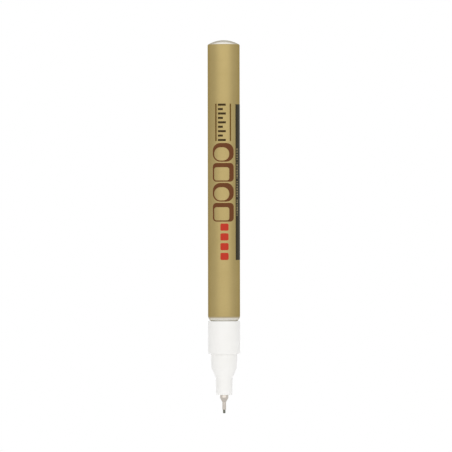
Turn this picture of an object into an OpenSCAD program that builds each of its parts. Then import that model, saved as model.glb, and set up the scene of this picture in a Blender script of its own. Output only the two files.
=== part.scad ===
// Extra-fine oil paint marker with a valve, uncapped. Millimetres.
// The marker stands tip down on the Z axis: z = 0 is the end of the nib, +Z runs to the rear dome.
// The printed side faces -Y.

/* [Barrel] */
// Outside diameter of the barrel
barrel_d = 11.5; // [10.8:0.1:13]
// Wall of the drawn tube
barrel_wall = 0.4; // [0.3:0.05:0.55]
// Length of the barrel from the edge of its rolled lip to the top of its dome
barrel_len = 100.9; // [85:0.1:120]
// Radius of the domed rear end
dome_r = 10.8; // [9:0.1:16]
// Radius of the edge between dome and wall
dome_edge_r = 0.4; // [0.3:0.05:0.9]
// Thickness of the dome, the base of the extruded can
dome_wall = 0.6; // [0.4:0.05:1.2]
// Radius of the edge between dome and wall, inside
dome_inner_edge_r = 0.9; // [0.5:0.05:1.2]
// Radius of the lip that is rolled in over the holder
lip_r = 2.55; // [2.2:0.05:3]
// Angle through which the lip is rolled
lip_angle = 55; // [45:1:62]

/* [Front holder] */
// Length of the collar between barrel and cap
collar_len = 11.7; // [9:0.1:15]
// Chamfer on the collar's edges
collar_chamfer = 0.25; // [0.1:0.05:0.5]
// Diameter of the cap spigot at its root
spigot_d = 9.4; // [8.8:0.1:10]
// Length of the spigot's round land at its root
spigot_land = 1.9; // [1.2:0.1:2.5]
// Length of the spigot
spigot_len = 5.36; // [4.5:0.02:8]
// Diameter of the spigot at its front end, after its draft
spigot_front_d = 8.94; // [8.4:0.02:9.2]
// Fillet between spigot and collar
spigot_fillet = 0.4; // [0.2:0.05:0.6]
// Length of the taper between spigot and nozzle
taper_len = 3.1; // [2:0.1:5]
// Diameter of the nozzle at its root
nozzle_d = 6.0; // [5.4:0.1:7]
// Diameter of the nozzle at its front face
nozzle_front_d = 5.7; // [5:0.1:6.2]
// Length of the nozzle
nozzle_len = 6.27; // [5.4:0.01:8]
// Rounding of the nozzle's front edge
nozzle_edge_r = 0.2; // [0.1:0.05:0.4]
// Radius of the bore behind the tip tube
nozzle_bore_r = 1.7; // [1.6:0.05:1.9]
// Radius of the wick chamber
chamber_r = 3.0; // [2.8:0.05:3.2]
// Wall between the taper and the wick chamber
chamber_floor = 1.3; // [0.8:0.1:2]
// Clearance between the neck and the rolled lip
neck_play = 0.07; // [0.03:0.01:0.15]
// Length of the plug behind the rolled lip
plug_len = 8.3; // [7.5:0.1:11]
// Clearance between plug and barrel
plug_play = 0.05; // [0.02:0.01:0.1]
// Wall of the plug round the valve
plug_wall = 1.4; // [1.3:0.05:1.5]
// Lead-in chamfer at the rear of the plug
plug_chamfer = 0.4; // [0.2:0.05:0.6]
// Distance of the valve ledge behind the start of the plug
ledge_in = 0.8; // [0.4:0.1:1.2]

/* [Plug seal] */
// Distance of the seal's groove behind the start of the plug
seal_in = 2.0; // [1.6:0.1:2.8]
// Width of the seal's groove
seal_w = 1.1; // [0.8:0.1:1.3]
// Depth of the seal's groove
seal_depth = 0.7; // [0.5:0.05:0.8]
// Clearance on each side of the seal in its groove
seal_play = 0.05; // [0.02:0.01:0.1]
// Rounding of the seal's section
seal_round = 0.25; // [0.15:0.05:0.3]

/* [Tip tube] */
// Length of the thin tube in front
tube_len = 2.8; // [2:0.1:4]
// Outside diameter of the thin tube
tube_d = 1.36; // [1.32:0.02:1.5]
// Length of the cone behind the thin tube
cone_len = 1.56; // [1:0.02:2.4]
// Diameter of the flange that seats on the nozzle
flange_d = 3.05; // [2.8:0.05:3.4]
// Length of the flange
flange_len = 0.97; // [0.6:0.01:1.5]
// Diameter of the shank pressed in the nozzle
shank_d = 2.5; // [2.3:0.05:2.7]
// Length of the shank
shank_len = 4.6; // [3.5:0.1:5]
// Wall of the shank
shank_wall = 0.3; // [0.2:0.05:0.4]
// Rounding of the thin tube's front edge
tube_edge = 0.06; // [0.03:0.01:0.08]

/* [Nib train] */
// Diameter of the nib
nib_d = 0.92; // [0.86:0.02:0.98]
// Length of nib that stands out of the tip tube
nib_out = 1.3; // [1.1:0.05:2]
// Length of the whole nib
nib_len = 19.4; // [18.6:0.1:21]
// Rounding of the nib's writing end
nib_round = 0.28; // [0.15:0.01:0.35]
// Radial clearance of the nib in the thin tube
nib_play = 0.05; // [0.03:0.01:0.06]
// Depth of nib held in the slider
nib_socket = 5.0; // [3.5:0.1:6]
// Radial clearance of the slider in the nozzle
slider_play = 0.1; // [0.06:0.01:0.1]
// Number of paint channels along the slider
flutes = 6; // [4:1:8]
// Width of a paint channel
flute_w = 0.5; // [0.3:0.05:0.55]
// Depth of a paint channel
flute_depth = 0.4; // [0.2:0.05:0.45]
// Chamfer at the slider's ends
slider_chamfer = 0.3; // [0.2:0.05:0.4]
// Depth of the stem's peg in the slider
peg_len = 1.5; // [1:0.1:2]
// Radial clearance of the slider in the wick
wick_bore_play = 0.15; // [0.1:0.01:0.25]
// Clearance round the wick and at its ends
wick_play = 0.05; // [0.03:0.01:0.2]

/* [Valve] */
// Height of the rubber valve seat
seat_h = 1.6; // [1.4:0.1:2]
// Radius of the hole in the valve seat
seat_hole_r = 1.6; // [1.4:0.05:1.7]
// Width of the bevel that the valve head closes on, cut at 45 degrees
seat_bevel = 0.7; // [0.5:0.05:0.8]
// Gap between valve head and seat, in height
seat_gap = 0.03; // [0.02:0.01:0.06]
// Clearance of the seat and the cage in the plug
seat_play = 0.02; // [0.01:0.01:0.05]
// Radius of the stem in front of the valve head
stem_r = 0.9; // [0.7:0.05:1]
// Length of the stem in front of the valve head
stem_len = 5.0; // [4.5:0.1:6]
// Height of the valve head's round rim
head_h = 1.0; // [0.6:0.1:1.5]
// Radius of the guide pin behind the valve head
pin_r = 1.15; // [0.9:0.05:1.2]
// Radial clearance of the guide pin in the cage
pin_play = 0.1; // [0.05:0.01:0.1]
// Distance of the pin's end inside the cage's end
pin_short = 1.2; // [1.1:0.05:1.6]
// Length of the valve cage
cage_len = 12.4; // [11.4:0.1:15]
// Wall of the valve cage
cage_wall = 0.8; // [0.6:0.05:1]
// Thickness of the cage's end
cage_end = 2.0; // [1.8:0.1:3]
// Radius of the hub in the cage's end
hub_r = 2.2; // [2:0.05:2.4]
// Number of windows in the cage
windows = 4; // [3:1:5]
// Width of a window
window_w = 3.2; // [2:0.1:3.4]
// Distance of the windows behind the plug
window_in = 0.3; // [0.1:0.1:0.8]
// Height of the cage's snap bead
bead_h = 0.15; // [0.1:0.01:0.25]
// Distance of the snap bead from the plug's end
bead_in = 2.0; // [1.6:0.1:2.4]
// Half length of the snap bead
bead_half = 0.5; // [0.35:0.05:0.7]
// Clearance of the snap bead in its groove
bead_play = 0.03; // [0.02:0.01:0.06]

/* [Valve spring] */
// Diameter of the spring wire
wire_d = 0.35; // [0.3:0.05:0.4]
// Mean radius of the coil
coil_r = 1.7; // [1.6:0.05:1.9]
// Number of turns, the closed end turns included
turns = 8; // [6:1:9]
// Gap between the closed end turns, and at the spring's seats
coil_gap = 0.02; // [0.01:0.01:0.04]

/* [Mixing ball] */
// Diameter of the mixing ball
ball_d = 6.0; // [5:0.1:7]
// Gap between the ball and the valve cage
ball_gap = 0.1; // [0.05:0.05:0.3]

/* [Print] */
// Thickness of the printed ink
ink = 0.05; // [0.03:0.01:0.08]
// Distance of the dark band and the bars behind the lip's edge
print_in = 22.0; // [10:0.1:30]
// Length of the dark band
panel_len = 55.8; // [40:0.1:60]
// Start of the dark band, in degrees to the right of the front
panel_start = 47.5; // [46:0.5:60]
// End of the dark band, in degrees to the right of the front
panel_end = 132; // [100:1:170]
// Number of red bars
bars = 4; // [3:1:6]
// Length of a red bar along the barrel
bar_len = 2.55; // [1.5:0.05:3]
// Width of a red bar across the barrel
bar_w = 2.9; // [2:0.1:4]
// Shift of the red bars from the print's middle line, to the right
bar_shift = 0.4; // [0:0.05:0.8]
// Gap between red bars
bar_gap = 0.95; // [0.5:0.05:1.5]
// Number of outlined blocks
blocks = 4; // [3:1:4]
// Length of a block along the barrel, its shadow included
block_len = 6.7; // [5:0.1:6.8]
// Width of a block across the barrel, its shadow included
block_w = 7.4; // [6:0.1:7.6]
// Gap between two blocks
block_gap = 0.45; // [0.3:0.05:0.8]
// Width of a block's outline
outline_w = 0.42; // [0.3:0.02:0.6]
// Width of a block's shadow
shadow_w = 1.1; // [0.7:0.05:1.4]
// Radius of a square block's corners
block_corner = 1.3; // [1.1:0.05:1.8]
// Roundness of a round block: the ratio of its corner radius to half its length
round_ratio = 0.96; // [0.8:0.02:0.98]
// Gap between the printed groups along the barrel
group_gap = 0.7; // [0.3:0.05:1.5]
// Length of the thin rules
rule_len = 13.4; // [10:0.1:16]
// Width of the thin rules
rule_w = 0.45; // [0.3:0.05:0.7]
// Distance between the two rules
rule_pitch = 5.2; // [4.8:0.1:6]
// Number of small ticks between the rules
ticks = 9; // [6:1:9]
// Length of a tick along the barrel
tick_len = 0.75; // [0.5:0.05:0.8]
// Width of a long tick across the barrel
tick_w = 2.8; // [2:0.1:3]
// Ratio of a short tick to a long one
tick_ratio = 0.62; // [0.4:0.02:0.8]
// Shift of the ticks from the print's middle line, to the left
tick_shift = 0.45; // [0:0.05:0.6]
// Shift of the print's middle line from the front, to the left
print_shift = 0.2; // [0:0.05:0.5]

/* [Hidden] */
$fn = 96;

// A cutter reaches this far past what it cuts
over = 0.5;
// Edges that are only broken, not shaped
broken = 0.1;

// Heights of the holder and the barrel, from the nib to the rear
z_tube = nib_out;
z_cone = z_tube + tube_len;
z_flange = z_cone + cone_len;
z_nozzle = z_flange + flange_len;
z_taper = z_nozzle + nozzle_len;
z_spigot = z_taper + taper_len;
z_collar = z_spigot + spigot_len;
z_collar_top = z_collar + collar_len;
lip_gap = 0.03;
z_lip = z_collar_top + lip_gap;
z_roll = z_lip + lip_r * sin(lip_angle);
z_plug_top = z_roll + plug_len;
z_top = z_lip + barrel_len;

// Radii of the barrel and of what sits in it
barrel_r = barrel_d / 2;
bore_r = barrel_r - barrel_wall;
roll_x = barrel_r - lip_r;
lip_hole_r = roll_x + (lip_r - barrel_wall) * cos(lip_angle);
neck_r = lip_hole_r - neck_play;
plug_r = bore_r - plug_play;
plug_bore_r = plug_r - plug_wall;

// Bores of the holder
z_shank = z_nozzle + shank_len;
z_chamber = z_spigot + chamber_floor;
z_ledge = z_roll + ledge_in;

// Valve heights
z_seat_top = z_ledge + seat_h;
z_bevel = z_seat_top - seat_bevel;
head_r = seat_hole_r + seat_bevel;
z_head_cone = z_bevel + seat_gap - (seat_hole_r - stem_r);
z_head_rim = z_seat_top + seat_gap;
z_head_top = z_head_rim + head_h;
z_stem = z_head_cone - stem_len;
z_cage_top = z_seat_top + cage_len;
z_spring_top = z_cage_top - cage_end;
cage_r = plug_bore_r - seat_play;
cage_bore_r = cage_r - cage_wall;
z_bead = z_plug_top - bead_in;
z_window = z_plug_top + window_in;

// Nib train
nib_r = nib_d / 2;
tube_bore_r = nib_r + nib_play;
shank_bore_r = shank_d / 2 - shank_wall;
slider_r = nozzle_bore_r - slider_play;
z_slider = nib_len - nib_socket;
z_slider_top = z_stem + peg_len;

// Spring
spring_len = z_spring_top - z_head_top - 2 * coil_gap;
end_pitch = wire_d + coil_gap;
pitch = (spring_len - wire_d - 2 * end_pitch) / (turns - 2);
wire_sides = 8;
rings_per_turn = 20;

// Print
z_print = z_lip + print_in;
bars_len = bars * bar_len + (bars - 1) * bar_gap;
z_blocks = z_print + bars_len + group_gap;
blocks_len = blocks * block_len + (blocks - 1) * block_gap;
z_rules = z_blocks + blocks_len + group_gap;

// Half profile of a round piece: radius r from z0 to z1, its edges broken by c
module rod_2d(r, z0, z1, c = broken) {
    polygon([[0, z0], [r - c, z0], [r, z0 + c], [r, z1 - c], [r - c, z1], [0, z1]]);
}

// Half profile of a bore of radius r from z0 to z1
module bore_2d(r, z0, z1) {
    translate([0, z0]) square([r, z1 - z0]);
}

// What a rounding of radius r takes off the corner of a square that starts at the origin
module corner_2d(r) {
    difference() {
        translate([-over, -over]) square(r + over);
        translate([r, r]) circle(r);
        translate([r, -2 * over]) square([r, 4 * over + r]);
        translate([-2 * over, r]) square([4 * over + r, r]);
    }
}

// Half profile of a can of radius r: wall from z0, dome of radius d_r up to z1, edge radius e
module can_2d(r, z0, z1, d_r, e) {
    z_dome = z1 - d_r;
    z_edge = z_dome + sqrt(pow(d_r - e, 2) - pow(r - e, 2));
    x_edge = (r - e) * d_r / (d_r - e);
    union() {
        translate([0, z0]) square([r, z_edge - z0]);
        translate([r - e, z_edge]) circle(e);
        intersection() {
            translate([0, z_dome]) circle(d_r);
            translate([0, z_edge - e]) square([x_edge, z1 - z_edge + 2 * e]);
        }
    }
}

module right_half() {
    intersection() {
        children();
        translate([0, -over]) square([2 * barrel_r, z_top + 2 * over]);
    }
}

// One tube with a closed domed end; its open edge is rolled in round the point (roll_x, z_roll)
module barrel() {
    color([0.76, 0.68, 0.49]) rotate_extrude() union() {
        difference() {
            can_2d(barrel_r, z_roll, z_top, dome_r, dome_edge_r);
            translate([0, -over])
                can_2d(bore_r, z_roll - over, z_top - dome_wall + over, dome_r - dome_wall, dome_inner_edge_r);
        }
        translate([roll_x, z_roll]) intersection() {
            difference() {
                circle(lip_r);
                circle(lip_r - barrel_wall);
            }
            polygon([[0, 0], [2 * lip_r, 0], [2 * lip_r, -2 * lip_r * tan(lip_angle)]]);
        }
    }
}

// Outside of the holder, from the nozzle's face to the collar's top
module holder_front_2d() {
    spigot_r = spigot_d / 2;
    difference() {
        union() {
            polygon([
                [0, z_nozzle],
                [nozzle_front_d / 2, z_nozzle],
                [nozzle_d / 2, z_taper],
                [spigot_front_d / 2, z_spigot],
                [spigot_r, z_collar - spigot_land],
                [spigot_r, z_collar],
                [spigot_r + spigot_fillet, z_collar],
                [spigot_r + spigot_fillet, z_collar + spigot_fillet],
                [0, z_collar + spigot_fillet]
            ]);
            translate([spigot_r - broken, z_collar - spigot_fillet])
                square([spigot_fillet + broken, spigot_fillet + broken]);
            rod_2d(barrel_r, z_collar, z_collar_top, collar_chamfer);
        }
        translate([spigot_r + spigot_fillet, z_collar - spigot_fillet]) circle(spigot_fillet);
        translate([nozzle_front_d / 2, z_nozzle]) mirror([1, 0]) corner_2d(nozzle_edge_r);
    }
}

// The neck in the rolled lip, the shoulder that the lip is rolled round, and the plug
module holder_plug_2d() {
    shoulder_r = lip_r - barrel_wall - plug_play;
    bore_2d(neck_r, z_collar_top - collar_chamfer, z_roll + over);
    intersection() {
        translate([roll_x, z_roll]) circle(shoulder_r);
        translate([roll_x, z_roll - shoulder_r]) square([shoulder_r, shoulder_r]);
    }
    difference() {
        polygon([
            [0, z_roll], [plug_r, z_roll],
            [plug_r, z_plug_top - plug_chamfer], [plug_r - plug_chamfer, z_plug_top], [0, z_plug_top]
        ]);
        translate([plug_r - seal_depth, z_roll + seal_in]) square([seal_depth + over, seal_w]);
    }
}

// Bead of the cage's snap: a ridge with 45 degree flanks, h high and 2 * half long at its base
module bead_2d(r, h, half) {
    polygon([[r - over, z_bead - half], [r, z_bead - half], [r + h, z_bead - half + h],
             [r + h, z_bead + half - h], [r, z_bead + half], [r - over, z_bead + half]]);
}

// One moulding; all its bores get smaller toward the front, so that one core pulls out to the rear
module front_holder() {
    color([0.95, 0.95, 0.94]) difference() {
        rotate_extrude() union() {
            holder_front_2d();
            holder_plug_2d();
        }
        rotate_extrude() union() {
            bore_2d(shank_d / 2, z_nozzle - over, z_shank + over);
            bore_2d(nozzle_bore_r, z_shank, z_chamber + over);
            bore_2d(chamber_r, z_chamber, z_ledge + over);
            bore_2d(plug_bore_r, z_ledge, z_plug_top + over);
            bead_2d(plug_bore_r, bead_h, bead_half + bead_play);
        }
    }
}

// Rubber ring, drawn as squeezed between the groove's floor and the barrel
module plug_seal() {
    r_in = plug_r - seal_depth;
    section = [bore_r - r_in, seal_w - 2 * seal_play];
    color([0.16, 0.16, 0.17]) rotate_extrude()
        translate([r_in, z_roll + seal_in + seal_play]) rounded_2d(section.x, section.y, seal_round);
}

// Drawn tube: thin tube, cone, flange on the nozzle's face, and a shank pressed in the nozzle
module tip_tube() {
    color([0.75, 0.74, 0.72]) rotate_extrude() difference() {
        polygon([
            [0, z_tube], [tube_d / 2 - tube_edge, z_tube], [tube_d / 2, z_tube + tube_edge],
            [tube_d / 2, z_cone], [flange_d / 2, z_flange], [flange_d / 2, z_nozzle],
            [shank_d / 2, z_nozzle], [shank_d / 2, z_shank], [0, z_shank]
        ]);
        bore_2d(tube_bore_r, z_tube - over, z_nozzle);
        polygon([[0, z_cone], [tube_bore_r, z_cone], [shank_bore_r, z_flange],
                 [shank_bore_r, z_shank + over], [0, z_shank + over]]);
    }
}

// Plastic rod, rounded where it writes
module nib() {
    color([0.50, 0.50, 0.47]) rotate_extrude() difference() {
        rod_2d(nib_r, 0, nib_len, broken / 2);
        translate([nib_r, 0]) mirror([1, 0]) corner_2d(nib_round);
    }
}

// Fluted rod: the nib in its front socket, the valve stem's peg in its rear one
module nib_slider() {
    color([0.88, 0.88, 0.85]) difference() {
        rotate_extrude() difference() {
            rod_2d(slider_r, z_slider, z_slider_top, slider_chamfer);
            bore_2d(nib_r, z_slider - over, nib_len);
            bore_2d(stem_r, z_stem, z_slider_top + over);
        }
        for (i = [0:flutes - 1])
            rotate([0, 0, i * 360 / flutes])
                translate([slider_r - flute_depth, -flute_w / 2, z_slider - over])
                    cube([flute_depth + over, flute_w, z_slider_top - z_slider + 2 * over]);
    }
}

// Fibre sleeve that fills the chamber round the slider
module paint_wick() {
    z0 = z_chamber + wick_play;
    z1 = z_ledge - wick_play;
    color([0.86, 0.84, 0.78]) rotate_extrude() difference() {
        rod_2d(chamber_r - wick_play, z0, z1);
        bore_2d(slider_r + wick_bore_play, z0 - over, z1 + over);
    }
}

// Rubber ring on the holder's ledge, bevelled where the valve head closes
module valve_seat() {
    color([0.22, 0.21, 0.20]) rotate_extrude() difference() {
        rod_2d(plug_bore_r - seat_play, z_ledge, z_seat_top, broken / 2);
        bore_2d(seat_hole_r, z_ledge - over, z_seat_top + over);
        polygon([[0, z_bevel], [seat_hole_r, z_bevel], [head_r, z_seat_top],
                 [head_r, z_seat_top + over], [0, z_seat_top + over]]);
    }
}

// Peg and shaft in front, conical head, guide pin behind
module valve_stem() {
    z_pin = z_cage_top - pin_short;
    color([0.80, 0.82, 0.84]) rotate_extrude() polygon([
        [0, z_stem], [stem_r, z_stem], [stem_r, z_head_cone], [head_r, z_head_rim],
        [head_r, z_head_top], [pin_r, z_head_top], [pin_r, z_pin - broken], [pin_r - broken, z_pin], [0, z_pin]
    ]);
}

// Height of the wire's middle line after t turns; the first and the last turn lie closed
function coil_z(t) =
    t < 1 ? end_pitch * t :
    t < turns - 1 ? end_pitch + pitch * (t - 1) :
    end_pitch * (t - turns + 2) + pitch * (turns - 2);

// Slope of the wire after t turns
function coil_slope(t) = atan((t < 1 || t > turns - 1 ? end_pitch : pitch) / (2 * PI * coil_r));

// Point j of the wire's ring after t turns, square to the wire
function coil_point(t, j) =
    let (
        turn = 360 * t,
        a = 360 * j / wire_sides,
        out = coil_r + wire_d / 2 * cos(a),
        up = wire_d / 2 * sin(a),
        slope = coil_slope(t)
    )
    [
        out * cos(turn) + up * sin(slope) * sin(turn),
        out * sin(turn) - up * sin(slope) * cos(turn),
        coil_z(t) + up * cos(slope)
    ];

// Closed end turns bear on the valve head and under the cage's end
module valve_spring() {
    rings = turns * rings_per_turn;
    points = [for (i = [0:rings]) for (j = [0:wire_sides - 1]) coil_point(i / rings_per_turn, j)];
    sides = [
        for (i = [0:rings - 1]) for (j = [0:wire_sides - 1])
            let (k = (j + 1) % wire_sides)
            [i * wire_sides + j, (i + 1) * wire_sides + j, (i + 1) * wire_sides + k, i * wire_sides + k]
    ];
    ends = [
        [for (j = [0:wire_sides - 1]) j],
        [for (j = [0:wire_sides - 1]) rings * wire_sides + wire_sides - 1 - j]
    ];
    color([0.70, 0.71, 0.73]) translate([0, 0, z_head_top + coil_gap + wire_d / 2])
        polyhedron(points = points, faces = concat(sides, ends), convexity = 10);
}

// Round cage, snapped in the plug: its rim holds the seat down, its end carries spring and guide pin
module valve_cage() {
    color([0.90, 0.91, 0.93]) difference() {
        rotate_extrude() difference() {
            union() {
                rod_2d(cage_r, z_seat_top, z_cage_top);
                bead_2d(cage_r, bead_h, bead_half);
            }
            bore_2d(cage_bore_r, z_seat_top - over, z_spring_top);
            bore_2d(pin_r + pin_play, z_spring_top - over, z_cage_top + over);
        }
        for (i = [0:windows - 1])
            rotate([0, 0, i * 360 / windows])
                translate([hub_r, -window_w / 2, z_window])
                    cube([cage_r, window_w, z_cage_top - z_window + over]);
    }
}

// Loose steel ball behind the cage
module mixing_ball() {
    color([0.72, 0.73, 0.75]) translate([0, 0, z_cage_top + ball_gap + ball_d / 2]) sphere(d = ball_d);
}

// Rectangle w by h with corners of radius r, from the origin
module rounded_2d(w, h, r) {
    translate([r, 0]) square([w - 2 * r, h]);
    translate([0, r]) square([w, h - 2 * r]);
    for (x = [r, w - r])
        for (y = [r, h - r])
            translate([x, y]) circle(r);
}

// A flat shape, x across and y along the barrel, laid as ink on the front of the barrel
module on_front(z0, z1) {
    intersection() {
        translate([0, 0, z0]) difference() {
            cylinder(r = barrel_r + ink, h = z1 - z0);
            translate([0, 0, -over]) cylinder(r = barrel_r, h = z1 - z0 + 2 * over);
        }
        rotate([90, 0, 0]) linear_extrude(height = 2 * barrel_r) translate([-print_shift, 0]) children();
    }
}

// Plain dark field round the barrel's right side
module print_panel() {
    color([0.26, 0.26, 0.22]) rotate([0, 0, panel_start - 90])
        rotate_extrude(angle = panel_end - panel_start)
            translate([barrel_r, z_print]) square([ink, panel_len]);
}

module print_bars() {
    color([0.74, 0.22, 0.16]) on_front(z_print, z_print + bars_len)
        for (i = [0:bars - 1])
            translate([bar_shift - bar_w / 2, z_print + i * (bar_len + bar_gap)])
                rounded_2d(bar_w, bar_len, bar_len / 5);
}

// Outlines with a thick shadow on the right and above: squares and rounds by turns
module print_blocks() {
    inner_w = block_w - shadow_w - 2 * outline_w;
    inner_h = block_len - shadow_w - 2 * outline_w;
    color([0.42, 0.27, 0.18]) on_front(z_blocks, z_blocks + blocks_len)
        for (i = [0:blocks - 1]) {
            corner = i % 2 == 0 ? block_corner : round_ratio * inner_h / 2 + outline_w;
            translate([-block_w / 2, z_blocks + i * (block_len + block_gap)]) difference() {
                rounded_2d(block_w, block_len, corner);
                translate([outline_w, outline_w]) rounded_2d(inner_w, inner_h, corner - outline_w);
            }
        }
}

module print_rules() {
    color([0.45, 0.31, 0.17]) on_front(z_rules, z_rules + rule_len)
        for (side = [-1, 1])
            translate([side * rule_pitch / 2 - rule_w / 2, z_rules]) square([rule_w, rule_len]);
}

// Short and long ticks by turns, like a scale
module print_ticks() {
    step = (rule_len - tick_len) / (ticks - 1);
    color([0.24, 0.19, 0.10]) on_front(z_rules, z_rules + rule_len)
        for (i = [0:ticks - 1])
            translate([-tick_w / 2 - tick_shift, z_rules + i * step])
                square([i % 2 == 0 ? tick_w : tick_w * tick_ratio, tick_len]);
}

barrel();
front_holder();
plug_seal();
tip_tube();
nib();
nib_slider();
paint_wick();
valve_seat();
valve_stem();
valve_spring();
valve_cage();
mixing_ball();
print_panel();
print_bars();
print_blocks();
print_rules();
print_ticks();
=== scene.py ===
import math

import bmesh
import bpy
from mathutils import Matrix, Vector


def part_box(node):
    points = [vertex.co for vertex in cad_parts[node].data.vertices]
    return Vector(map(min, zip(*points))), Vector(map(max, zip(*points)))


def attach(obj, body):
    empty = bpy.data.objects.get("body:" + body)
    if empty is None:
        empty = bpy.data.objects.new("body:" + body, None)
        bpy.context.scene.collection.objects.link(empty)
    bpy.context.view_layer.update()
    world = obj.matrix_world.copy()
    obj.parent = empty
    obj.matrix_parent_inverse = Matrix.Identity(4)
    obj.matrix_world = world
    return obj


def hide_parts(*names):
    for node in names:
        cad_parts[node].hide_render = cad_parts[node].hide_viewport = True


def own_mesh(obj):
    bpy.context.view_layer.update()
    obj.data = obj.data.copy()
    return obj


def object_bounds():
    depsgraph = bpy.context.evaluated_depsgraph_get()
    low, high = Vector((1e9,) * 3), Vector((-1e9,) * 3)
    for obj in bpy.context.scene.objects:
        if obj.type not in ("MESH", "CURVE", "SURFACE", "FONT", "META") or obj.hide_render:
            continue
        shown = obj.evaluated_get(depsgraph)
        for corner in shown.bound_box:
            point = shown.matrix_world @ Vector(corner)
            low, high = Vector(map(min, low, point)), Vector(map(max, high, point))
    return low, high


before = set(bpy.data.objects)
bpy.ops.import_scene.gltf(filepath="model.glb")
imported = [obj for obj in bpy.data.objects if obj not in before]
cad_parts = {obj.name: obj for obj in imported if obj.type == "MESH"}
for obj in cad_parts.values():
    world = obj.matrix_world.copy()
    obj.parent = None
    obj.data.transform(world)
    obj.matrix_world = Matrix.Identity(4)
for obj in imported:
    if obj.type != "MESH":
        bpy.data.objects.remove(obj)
cad_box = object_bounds()

# The view. The marker hangs upright, tip down, and a long lens looks at it level from the printed side.
# Two heights in the photograph, the nib's end and the top of the dome, give its scale.
MM = 0.001
IMAGE_PX = 452
NIB_END_Y_PX = 413.25
DOME_TOP_Y_PX = 40.24
AXIS_X_PX = 223.9
LEAN_DEG = 0.1
CAMERA_DISTANCE = 1.8
SENSOR = 36

m_per_px = (cad_box[1].z - cad_box[0].z) / (NIB_END_Y_PX - DOME_TOP_Y_PX)
view_data = bpy.data.cameras.new("photo_view")
view_data.sensor_width = SENSOR
view_data.lens = SENSOR * CAMERA_DISTANCE / (IMAGE_PX * m_per_px)
view_camera = bpy.data.objects.new("photo_view", view_data)
view_camera.location = (
    (IMAGE_PX / 2 - AXIS_X_PX) * m_per_px,
    -CAMERA_DISTANCE,
    cad_box[0].z + (NIB_END_Y_PX - IMAGE_PX / 2) * m_per_px,
)
view_camera.rotation_euler = (math.radians(90), math.radians(LEAN_DEG), 0)
bpy.context.scene.collection.objects.link(view_camera)
bpy.context.scene.camera = view_camera
bpy.context.scene.view_settings.view_transform = "Standard"


# The studio. A white room, which the camera, metal and glass see all round. Its soft light is weaker in
# front, where a wide box adds to it. Other boxes stand overhead and under the light table, in front of
# the marker and behind it.
def put(tree, kind, inputs=None, **settings):
    """Adds a node, with its settings and its inputs, which are values or other nodes' sockets."""
    made = tree.nodes.new(kind)
    for key, value in settings.items():
        setattr(made, key, value)
    for key, value in (inputs or {}).items():
        if isinstance(value, bpy.types.NodeSocket):
            tree.links.new(value, made.inputs[key])
        else:
            made.inputs[key].default_value = value
    return made


def maths(tree, operation, first, second=0.0, third=0.0):
    """The result of a Math node."""
    return put(tree, "ShaderNodeMath", {0: first, 1: second, 2: third}, operation=operation).outputs[0]


def remap(tree, value, low, high, to_low=0.0, to_high=1.0):
    """A smooth step of value from low to high."""
    inputs = {"Value": value, 1: low, 2: high, 3: to_low, 4: to_high}
    return put(tree, "ShaderNodeMapRange", inputs, interpolation_type="SMOOTHSTEP").outputs[0]


def blend_colour(tree, share, first, second):
    """first where share is 0 and second where it is 1."""
    inputs = {0: share, 6: first, 7: second}
    return put(tree, "ShaderNodeMix", inputs, data_type="RGBA").outputs[2]


def shown(tree):
    """1 for the rays that see the background: the camera's, and those mirrored or let through."""
    rays = put(tree, "ShaderNodeLightPath").outputs
    share = maths(tree, "MAXIMUM", rays["Is Camera Ray"], rays["Is Glossy Ray"])
    return maths(tree, "MAXIMUM", share, rays["Is Transmission Ray"])


ROOM_FRONT = 0.46
ROOM_RISE = 0.085
LAMP_AIM = Vector((0, 0, 0.07))

room = bpy.data.worlds.new("studio")
room.use_nodes = True
tree = room.node_tree
tree.nodes.clear()
facing = put(tree, "ShaderNodeTexCoord").outputs["Generated"]
toward = put(tree, "ShaderNodeSeparateXYZ", {0: facing}).outputs
turn = maths(tree, "ARCCOSINE", maths(tree, "MULTIPLY", toward["Y"], -1.0))
level = maths(tree, "MULTIPLY_ADD", turn, ROOM_RISE, ROOM_FRONT)
strength = put(tree, "ShaderNodeMix", {0: shown(tree), 2: level, 3: 1.0}).outputs[0]
background = put(tree, "ShaderNodeBackground", {"Color": (1, 1, 1, 1), "Strength": strength})
put(tree, "ShaderNodeOutputWorld", {"Surface": background.outputs[0]})
bpy.context.scene.world = room


def lamp(name, place, width, height, radiance):
    """A soft box at place that faces the marker and shines with a plain radiance."""
    light = bpy.data.lights.new(name, "AREA")
    light.shape = "RECTANGLE"
    light.size = width
    light.size_y = height
    light.energy = math.pi * width * height * radiance
    holder = bpy.data.objects.new(name, light)
    holder.location = place
    holder.rotation_euler = (LAMP_AIM - Vector(place)).to_track_quat("-Z", "Y").to_euler()
    bpy.context.scene.collection.objects.link(holder)


FRONT_LIGHT = 0.65
TOP_LIGHT = 0.75
TABLE_LIGHT = 0.68
REAR_LIGHT = 0.75

lamp("front_box", (0.02, -1.5, 0.3), 3.2, 2.56, FRONT_LIGHT)
lamp("top_box", (0.0, 0.4, 1.1), 1.2, 1.0, TOP_LIGHT)
lamp("table_box", (0.0, -0.7, -0.6), 1.2, 0.8, TABLE_LIGHT)
lamp("rear_box", (0.0, 0.9, -0.7), 2.4, 0.8, REAR_LIGHT)

# The floor. A light table's pale sheet well below the tip, out of the photograph's view. It takes the
# marker's shadow, its rim fades to the white of the room, and light comes through it from below.
FLOOR_DROP = 0.06
FLOOR_RADIUS = 0.8
FLOOR_FADE = 0.4
FLOOR_LIFT = 0.2
FLOOR_GREY = 0.88
FLOOR_STEPS = 128

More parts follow.
